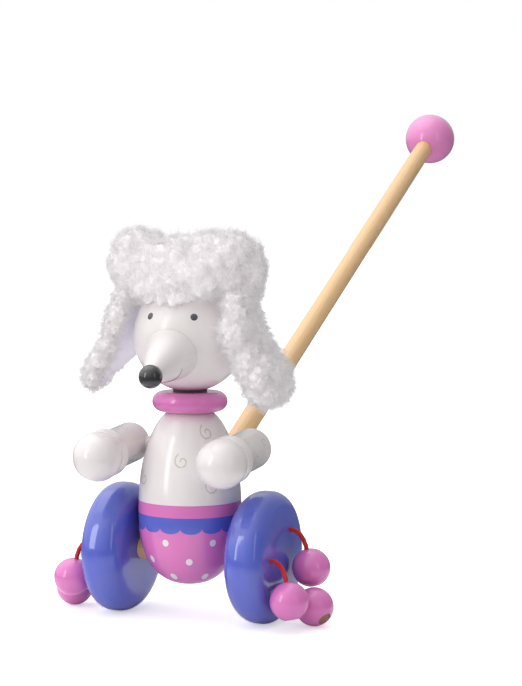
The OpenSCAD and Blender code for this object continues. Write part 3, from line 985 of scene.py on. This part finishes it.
def grow_pile(name, skin, length, lock, random, cover, droop=0.0, tuft=0.3):
    """Short curly hairs on a skin: each leans towards its lock's tip and winds round it.
    A lock's inner hairs are the longer ones by the share tuft."""
    count = PILE_COUNT
    radius = 0.1 * MM
    steps = 4
    sides = 3
    mesh = skin.data
    mesh.calc_loop_triangles()
    corners = np.empty(len(mesh.loop_triangles) * 3, int)
    mesh.loop_triangles.foreach_get("vertices", corners)
    corners = corners.reshape(-1, 3)
    points, normals = read_points(mesh)
    a, b, c = points[corners[:, 0]], points[corners[:, 1]], points[corners[:, 2]]
    weight = np.linalg.norm(np.cross(b - a, c - a), axis=1)
    weight = weight * cover(points, normals)[corners].mean(axis=1)
    pick = random.choice(len(corners), size=count, p=weight / weight.sum())
    u = random.random((count, 1))
    v = random.random((count, 1))
    flip = (u + v) > 1
    u = np.where(flip, 1 - u, u)
    v = np.where(flip, 1 - v, v)
    roots = a[pick] + (b - a)[pick] * u + (c - a)[pick] * v
    out = unit(normals[corners[pick]].mean(axis=1))
    chosen = scatter(points, lock, random)
    which, apart = nearest(roots, points[chosen])
    middle = points[chosen][which]
    inside = 1 - np.clip(apart / lock, 0, 1)[:, None]
    lean = unit(unit(normals[chosen][which] + random.normal(0, 0.25, (len(chosen), 3))[which]) * 0.6 + out)
    pull = (middle - roots) - lean * ((middle - roots) * lean).sum(axis=1, keepdims=True)
    winding = np.where(random.random(len(chosen)) < 0.5, -1.0, 1.0)[which][:, None]
    round_lock = np.cross(lean, pull) * winding
    reach = length * (0.7 + 0.6 * random.random((count, 1))) * (1 + tuft * (2 * inside - 0.8))
    jitter = random.normal(0, 0.16, (count, 3)) * reach
    path = []
    for k in range(steps):
        t = k / (steps - 1)
        spot = roots - out * 0.4 * MM + lean * reach * t * (1 - 0.25 * t) + pull * 0.8 * t ** 1.4
        spot = spot + round_lock * 0.9 * math.sin(math.pi * t) + jitter * t ** 2
        spot[:, 2] -= droop * t ** 2
        path.append(spot)
    path = np.stack(path, axis=1)
    way = unit(path[:, -1] - path[:, 0])
    first = unit(np.cross(way, unit(random.normal(0, 1, (count, 3)))))
    second = np.cross(way, first)
    thick = radius * (0.75 + 0.5 * random.random((count, 1)))
    rings = []
    for k in range(steps):
        taper = thick * (1 - 0.72 * k / (steps - 1))
        for i in range(sides):
            angle = TURN * i / sides
            rings.append(path[:, k] + (first * math.cos(angle) + second * math.sin(angle)) * taper)
    vertices = np.stack(rings, axis=1).reshape(-1, 3)
    base = np.arange(count)[:, None] * (steps * sides)
    hair = tube_faces(steps, sides)
    quads = (base[:, :, None] + np.array(hair[:-2])[None, :, :]).reshape(-1, 4)
    caps = (base[:, :, None] + np.array(hair[-2:])[None, :, :]).reshape(-1, 3)
    piece = make_object(name, vertices.tolist(), quads.tolist() + caps.tolist())
    soft = unit(out + 0.22 * unit(random.normal(0, 1, (count, 3))))
    piece.data.normals_split_custom_set_from_vertices(np.repeat(soft, steps * sides, axis=0).tolist())
    piece.visible_shadow = False
    return piece


def outside_head(points, normals):
    """0 where the topknot rests on the head ball, 1 where it is free."""
    gap = np.linalg.norm(points - np.array(HEAD_CENTRE), axis=1) - HEAD_RADIUS
    return np.clip(gap / (2.5 * MM), 0, 1)


def lift_off_head(piece, clearance=0.4 * MM):
    """Keeps every point of the fur outside the head ball."""
    points, _ = read_points(piece.data)
    offset = points - np.array(HEAD_CENTRE)
    distance = np.linalg.norm(offset, axis=1, keepdims=True)
    wanted = np.maximum(distance, HEAD_RADIUS + clearance)
    move_points(piece, np.array(HEAD_CENTRE) + offset / distance * wanted)


# The curls raised on the topknot and on the ears, as (spacing, height) in millimetres.
TOPKNOT_CURLS = ((13, 4.2), (6.5, 3.0), (2.8, 0.8))
EAR_CURLS = ((8, 4.6), (4.2, 2.6), (2.4, 1.3))

# The topknot's bulk: soft lumps as (centre, radii) in the head's frame, in millimetres.
TOPKNOT_BALLS = (
    ((-27, -2, 38), (14, 19, 16)),
    ((-33, 6, 31), (9.5, 14, 11)),
    ((19, -4, 38), (17, 20, 15.5)),
    ((26.5, 5, 36), (11, 14, 13)),
    ((0, 2, 31), (27, 22, 19)),
    ((-3, -12, 33.5), (31, 12, 14)),
    ((-7, -18, 28.5), (21, 8, 8.5)),
    ((10, -19, 31), (14, 8, 10)),
    ((0, 16, 26), (27, 13, 15)),
    ((-27, 0, 25), (10, 18, 8)),
    ((25.5, 4, 26), (10, 18, 9)),
)


def fringe_balls():
    """Short locks hanging over the forehead, following the head ball."""
    random = np.random.default_rng(5)
    count = 13
    first_azimuth = -62
    apart = 9
    lowest_latitude = 41
    radii = (2.0, 2.0, 4.6)
    reach = HEAD_RADIUS / MM + 1.8
    locks = []
    for i in range(count):
        azimuth = math.radians(first_azimuth + apart * i + random.normal(0, 1.5))
        latitude = math.radians(lowest_latitude + 4 * abs(i - 5.0) / 5.5 + random.normal(0, 1.6))
        across = reach * math.cos(latitude)
        middle = (across * math.sin(azimuth), -across * math.cos(azimuth), reach * math.sin(latitude))
        locks.append((middle, radii))
    return locks


def build_topknot(fleece, hairs):
    random = np.random.default_rng(11)
    skin = skin_round("topknot", list(TOPKNOT_BALLS) + fringe_balls(), 0.7 * MM, HEAD_FRAME)
    for spacing, height in TOPKNOT_CURLS:
        raise_curls(skin, spacing * MM, height * MM, random, outside_head)
    lift_off_head(skin)
    for part in range(3):
        curls = grow_pile(f"topknot_pile_{part + 1}", skin, 3.8 * MM, 4.4 * MM, random, outside_head)
        dress(curls, hairs, "head")
    stand_in(skin, fleece, "topknot")


# One ear, level by level: millimetres below its hinge, then the lining's distance from the head's
# middle plane, the front roll's and the rear edge's places behind the head's centre, and the pile's depth.
EAR_LEVELS = {
    "left": ((-6, 30, -13, 6, 4), (0, 30.5, -18, 8, 4.5), (8, 31, -20, 12, 5.5),
             (16, 33, -18.5, 17, 6), (23, 35.5, -17, 21, 6.5), (30, 39, -16, 24, 7),
             (36, 42, -15.5, 23.5, 7.5), (42, 43.5, -12.5, 18, 7.5), (45.5, 44, -8, 11, 5.5)),
    "right": ((-6, 30, -13, 13, 4.5), (0, 30.5, -18, 21, 4), (8, 31.5, -20, 27, 4),
              (17, 34.5, -20.5, 29, 4), (25, 40, -20, 27, 4.5), (31, 45, -19, 21, 4),
              (35, 48, -16.5, 15, 4), (38.5, 49.5, -12, 6, 3.5)),
}
ROLL_RADIUS = {"left": 5.2, "right": 3.5}
ROLL_OUT = {"left": 1.5, "right": 2.8}


def ear_matrix(side):
    """The ear's own frame: origin level with its hinge in the head's middle plane, X outwards."""
    origin = Vector((HEAD_CENTRE.x, HEAD_CENTRE.y, pivot(f"{side}_ear_flap").z))
    turn = HEAD_FRAME.to_3x3().to_4x4()
    return Matrix.Translation(origin) @ turn @ Matrix.Diagonal((OUTWARD[side].x, 1, 1, 1))


def ear_level(side, down):
    """(lining, front, rear, depth) of the ear at a level, in millimetres."""
    levels = np.array(EAR_LEVELS[side], float)
    return [float(np.interp(down, levels[:, 0], levels[:, k])) for k in range(1, 5)]


def ear_balls(side):
    """The pile's bulk: rows of soft lumps on the outer side, and a roll along the front edge."""
    random = np.random.default_rng(2 if side == "left" else 3)
    top = EAR_LEVELS[side][0][0]
    bottom = EAR_LEVELS[side][-1][0]
    balls = []
    steps = 15
    lump_apart = 6.5
    lump_half_length = 5.2
    lump_half_height = 4.4
    for k in range(steps + 1):
        down = top + (bottom - top) * k / steps
        lining, front, rear, depth = ear_level(side, down)
        roll = ROLL_RADIUS[side] * (0.8 if k in (0, steps) else 1.0) * random.uniform(0.92, 1.1)
        place = (lining + ROLL_OUT[side], front + random.normal(0, 0.7), -down)
        balls.append((place, (roll * 0.85, roll, roll)))
        across = max(2, round((rear - front) / lump_apart))
        for i in range(1, across + 1):
            share = i / across
            half = depth / 2 * (1.0 if share < 0.8 else 0.8) * random.uniform(0.9, 1.12)
            low = -down + random.normal(0, 0.8) + (2.5 if k == steps else 0)
            place = (lining + half + 0.3, front + (rear - front) * share - 5 * share, low)
            balls.append((place, (half, lump_half_length, lump_half_height)))
    return balls


def build_ear(side, fleece, hairs, satin):
    random = np.random.default_rng(21 if side == "left" else 31)
    matrix = ear_matrix(side)
    outward = np.array((matrix.to_3x3() @ (X_AXIS + FRONT * 0.35)).normalized())
    skin = skin_round(f"{side}_ear_fur", ear_balls(side), 0.65 * MM, matrix)

    def outer(points, normals):
        shown = np.clip(0.6 + normals @ outward, 0, 1)
        _, _, behind = ear_places(points, side, matrix)
        return np.maximum(shown, np.clip(1 - behind / (3 * MM), 0, 1))

    for spacing, height in EAR_CURLS:
        raise_curls(skin, spacing * MM, height * MM, random, outer)
    clear_lining(skin, side, matrix)
    for part in range(2):
        curls = grow_pile(f"{side}_ear_pile_{part + 1}", skin, 3.9 * MM, 2.8 * MM, random, outer,
                          0.8 * MM, 0.8)
        dress(curls, hairs, f"{side}_ear")
    stand_in(skin, fleece, f"{side}_ear_fur")
    build_lining(side, matrix, satin)


def ear_places(points, side, matrix):
    """The points in the ear's frame, the lining's place at each, and how far each is behind the roll."""
    back = np.array(matrix.inverted())
    local = points @ back[:3, :3].T + back[:3, 3]
    levels = np.array(EAR_LEVELS[side], float) * MM
    lining = np.interp(-local[:, 2], levels[:, 0], levels[:, 1])
    front = np.interp(-local[:, 2], levels[:, 0], levels[:, 2])
    return local, lining, local[:, 1] - front


def clear_lining(piece, side, matrix):
    """Keeps the pile's bulk on the outer side of the lining, behind the front roll."""
    points, _ = read_points(piece.data)
    local, lining, behind = ear_places(points, side, matrix)
    share = np.clip((behind - 1 * MM) / (3 * MM), 0, 1)
    local[:, 0] += np.maximum(0, lining + 1.2 * MM - local[:, 0]) * share
    way = np.array(matrix)
    move_points(piece, local @ way[:3, :3].T + way[:3, 3])


def build_lining(side, matrix, satin):
    """The lining: a thin satin leaf with a turned edge, slightly hollow towards the head."""
    lower = 4
    top = EAR_LEVELS[side][0][0] + lower
    bottom = EAR_LEVELS[side][-1][0] + lower
    rows = []
    steps = 60
    half_row = 24
    forward = range(-half_row, half_row + 1)
    for k in range(steps + 1):
        down = top + (bottom - top) * k / steps
        lining, front, rear, _ = ear_level(side, down)
        close = math.sqrt(max(0.002, 1 - max(0.0, (k / steps - 0.8) / 0.2) ** 2.2))
        middle = (front + rear) / 2
        half = ((rear - front) / 2 + 2) * close
        ease = 0.5 * math.sin(down * 0.19 + 1) + 0.3 * math.sin(down * 0.43)
        row = []
        for face, order in ((0.1, forward), (1.0, forward[::-1])):
            for i in order:
                a = math.sin(TURN / 4 * i / half_row)
                hollow = 0.9 * (1 - a * a) + 0.35 * math.sin(2.6 * a + ease) * (1 - a * a)
                plump = face * (1 - 0.8 * abs(a) ** 9)
                row.append(Vector((lining + 0.4 + hollow * 0.6 - plump, middle + half * a, -down)) * MM)
        rows.append(row)
    piece = loft(f"{side}_ear_lining", rows, matrix)
    crisp(piece, 55)
    stand_in(piece, satin, f"{side}_ear_lining")


def loft(name, rows, matrix):
    """A closed tube of equal rows of points, with both ends filled."""
    points = [matrix @ point for row in rows for point in row]
    piece = make_object(name, points, tube_faces(len(rows), len(rows[0])))
    mesh = bmesh.new()
    mesh.from_mesh(piece.data)
    bmesh.ops.recalc_face_normals(mesh, faces=mesh.faces)
    mesh.to_mesh(piece.data)
    mesh.free()
    return piece


# ---- studio

def soft_box(name, place, target, width, height, power):
    light = bpy.data.lights.new(name, "AREA")
    light.shape = "RECTANGLE"
    light.size = width
    light.size_y = height
    light.energy = power
    lamp = add_object(name, light)
    lamp.location = place
    lamp.rotation_euler = (Vector(place) - Vector(target)).to_track_quat("Z", "Y").to_euler()


def build_studio():
    target = (0, 0.02, 0.12)
    soft_box("left_box", (-0.62, -1.05, 0.5), target, 0.24, 0.9, 2.7)
    soft_box("right_box", (1.35, -0.6, 0.5), target, 0.25, 1.0, 1.0)
    soft_box("top_box", (-0.35, 0.15, 1.4), (0, 0.15, 0.12), 1.3, 1.3, 3.7)
    build_floor()
    build_sky()
    bpy.context.scene.view_settings.view_transform = "Standard"


def build_floor():
    """Pale paper that stays white away from the toy and only shows a faint shadow under it."""
    floor = make_object("floor", [(-9, -9, 0), (9, -9, 0), (9, 9, 0), (-9, 9, 0)], [(0, 1, 2, 3)])
    shader = Shader("floor_paper")
    x, y, _ = shader.split(shader.place)
    away = shader.hypot(x, y)
    ray = shader.add("ShaderNodeLightPath").outputs
    glow = shader.plus(0.5, shader.span(away, 0.15, 1.2, 0.0, 0.7))
    near = shader.mix(shader.noise(3 * MM, 3), (0.90, 0.90, 0.90), (0.93, 0.93, 0.93))
    paper = shader.mix(shader.span(away, 0.2, 0.8), near, (0.3, 0.3, 0.3))
    # To glossy rays the floor away from the toy is dark grey: a painted dark reflection in the glossy parts.
    mirrored = shader.times(ray["Is Glossy Ray"], shader.span(away, 0.08, 0.3))
    paper = shader.mix(mirrored, paper, (0.08, 0.08, 0.09))
    shader.finish(base_color=paper, roughness=0.9, emission_color=(1, 1, 1),
                  emission_strength=shader.times(glow, ray["Is Camera Ray"]))
    floor.data.materials.append(shader.material)
    floor.location.z = -0.05 * MM


def build_sky():
    """White behind the toy for the camera, and a dim room with a bright ceiling for its light."""
    world = bpy.data.worlds.new("studio")
    bpy.context.scene.world = world
    world.use_nodes = True
    tree = world.node_tree

    def ramp(value, *limits):
        node = tree.nodes.new("ShaderNodeMapRange")
        for title, limit in zip(("From Min", "From Max", "To Min", "To Max"), limits):
            node.inputs[title].default_value = limit
        tree.links.new(value, node.inputs["Value"])
        return node

    way = tree.nodes.new("ShaderNodeTexCoord").outputs["Generated"]
    split = tree.nodes.new("ShaderNodeSeparateXYZ")
    tree.links.new(way, split.inputs[0])
    light = ramp(split.outputs["Z"], -0.1, 0.9, 0.27, 1.2)
    for axis, limits in (("Y", (-1.0, 1.0, 1.15, 0.75)), ("X", (-1.0, 1.0, 1.9, 0.25))):
        both = tree.nodes.new("ShaderNodeMath")
        both.operation = "MULTIPLY"
        tree.links.new(light.outputs[0], both.inputs[0])
        tree.links.new(ramp(split.outputs[axis], *limits).outputs[0], both.inputs[1])
        light = both
    seen = ramp(tree.nodes.new("ShaderNodeLightPath").outputs["Is Camera Ray"], 0.0, 1.0, 0.0, 1.0)
    tree.links.new(light.outputs[0], seen.inputs["To Min"])
    sky = tree.nodes["Background"]
    sky.inputs["Color"].default_value = (1, 1, 1, 1)
    tree.links.new(seen.outputs[0], sky.inputs["Strength"])


def build_camera():
    """A long lens low down at the figure's front left."""
    azimuth = math.radians(22.82)
    elevation = math.radians(3.99)
    roll = math.radians(0.16)
    distance = 1.0
    target = Vector((0.0471, -0.0145, 0.1492))
    back = Vector((math.sin(azimuth) * math.cos(elevation), -math.cos(azimuth) * math.cos(elevation),
                   math.sin(elevation)))
    level = Vector((math.cos(azimuth), math.sin(azimuth), 0))
    right = level * math.cos(roll) + back.cross(level) * math.sin(roll)
    data = bpy.data.cameras.new("camera")
    data.lens = 101.7
    data.sensor_width = 36
    data.clip_start = 0.05
    camera = add_object("camera", data)
    matrix = Matrix((right, back.cross(right), back)).transposed().to_4x4()
    matrix.translation = target + back * distance
    camera.matrix_world = matrix
    bpy.context.scene.camera = camera


# ---- the whole toy

build_running_gear()
build_body()
build_neck_ring("collar", SNUG, plain_paint("collar_paint", PINK, 0.18), 192, 40, True)
build_neck_ring("neck_washer", LOOSE, felt_cloth(), 96, 8, False)
for side in OUTWARD:
    build_arm(side)
build_rod_and_ball()
finish_dowels()
build_head()
build_snout()
build_nose()
build_eyes()
build_smile()
# Each pile's last number is the strength of its painted glow.
fleece = fur_pile("curly_fleece", (0.84, 0.80, 0.81), 0.2)
hairs = fur_pile("curly_hairs", (0.69, 0.66, 0.67), 0.38)
satin = satin_cloth()
build_topknot(fleece, hairs)
for side in OUTWARD:
    build_ear(side, fleece, hairs, satin)
build_studio()
build_camera()
